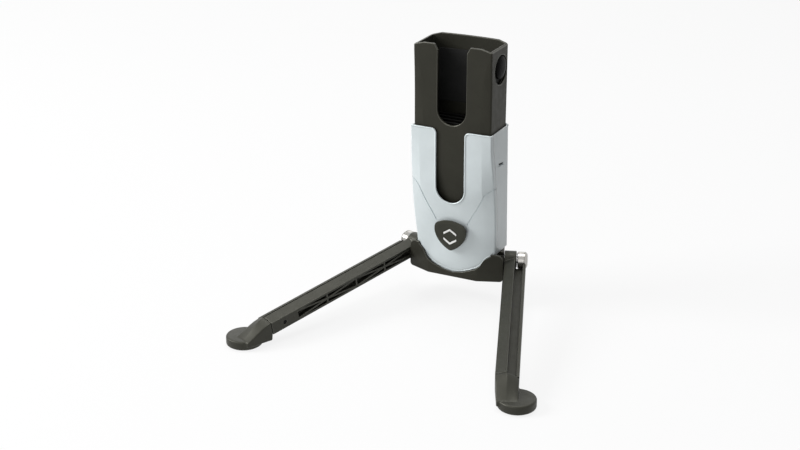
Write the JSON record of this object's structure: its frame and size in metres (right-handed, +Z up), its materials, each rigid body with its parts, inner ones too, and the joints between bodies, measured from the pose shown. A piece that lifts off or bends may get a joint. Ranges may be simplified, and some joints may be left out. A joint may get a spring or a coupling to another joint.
{
  "type": "portable bike stand",
  "caption": "Folding two-leg stand whose sliding padded socket slips over a bicycle's crank arm; a push button frees its height.",
  "frame": {"origin": "floor point below the centre of the stand's overall box, with the stand upright on its foot pads' plane", "axes": "+Z up, -Y towards the feet and the button, +X to the stand's side that is right in a view from the front"},
  "size_m": [0.2736, 0.2008, 0.2346],
  "materials": {
    "black_plastic": "fine moulded texture",
    "silver_paint": "satin silver paint",
    "button_plastic": "satin",
    "mark_inlay": "satin white inlay",
    "rubber": "matte",
    "liner": "matte low-friction liner",
    "zinc_steel": "zinc plated",
    "chrome": "polished",
    "spring_steel": "drawn wire"
  },
  "bodies": {
    "base": {"base_bracket": "black_plastic", "front_shell": "silver_paint", "rear_shell": "silver_paint", "latch_housing": "black_plastic", "button_spring": "spring_steel", "housing_screw_left": "zinc_steel", "housing_screw_right": "zinc_steel", "shell_screw_left": "zinc_steel", "shell_screw_right": "zinc_steel", "hinge_pin_left": "chrome", "hinge_pin_right": "chrome", "hinge_nut_left": "zinc_steel", "hinge_nut_right": "zinc_steel", "hinge_washer_left": "liner", "hinge_washer_right": "liner", "wave_washer_left": "spring_steel", "wave_washer_right": "spring_steel"},
    "socket": {"crank_socket": "black_plastic", "crank_rest_pad": "rubber", "back_pad": "liner", "front_pad_left": "liner", "front_pad_right": "liner", "side_bumper_left": "rubber", "side_bumper_right": "rubber", "height_rack": "zinc_steel", "rack_screw_left": "zinc_steel", "rack_screw_right": "zinc_steel"},
    "button": {"release_button": "button_plastic", "button_mark_lower": "mark_inlay", "button_mark_upper": "mark_inlay", "catch": "zinc_steel"},
    "right_leg": {"leg_right": "black_plastic", "foot_right": "black_plastic", "foot_pad_right": "rubber", "foot_pin_right": "zinc_steel"},
    "left_leg": {"leg_left": "black_plastic", "foot_left": "black_plastic", "foot_pad_left": "rubber", "foot_pin_left": "zinc_steel"}
  },
  "joints": [
    {"name": "height_slide", "type": "slide", "parent": "base", "child": "socket", "axis": [0, 0, 1], "range_m": [-0.018, 0]},
    {"name": "button_press", "type": "slide", "parent": "base", "child": "button", "axis": [0, 1, 0], "range_m": [0, 0.0016], "stiffness_N_per_m": 800, "springref_m": -0.0015, "deforming": ["button_spring"]},
    {"name": "right_leg_fold", "type": "hinge", "parent": "base", "child": "right_leg", "pos_m": [0.04858, 0.08572, 0.042], "axis": [-0.9367, -0.3502, 0], "range_deg": [0, 98.4]},
    {"name": "left_leg_fold", "type": "hinge", "parent": "base", "child": "left_leg", "pos_m": [-0.04858, 0.08572, 0.042], "axis": [-0.9367, 0.3502, 0], "range_deg": [0, 98.4]}
  ]
}
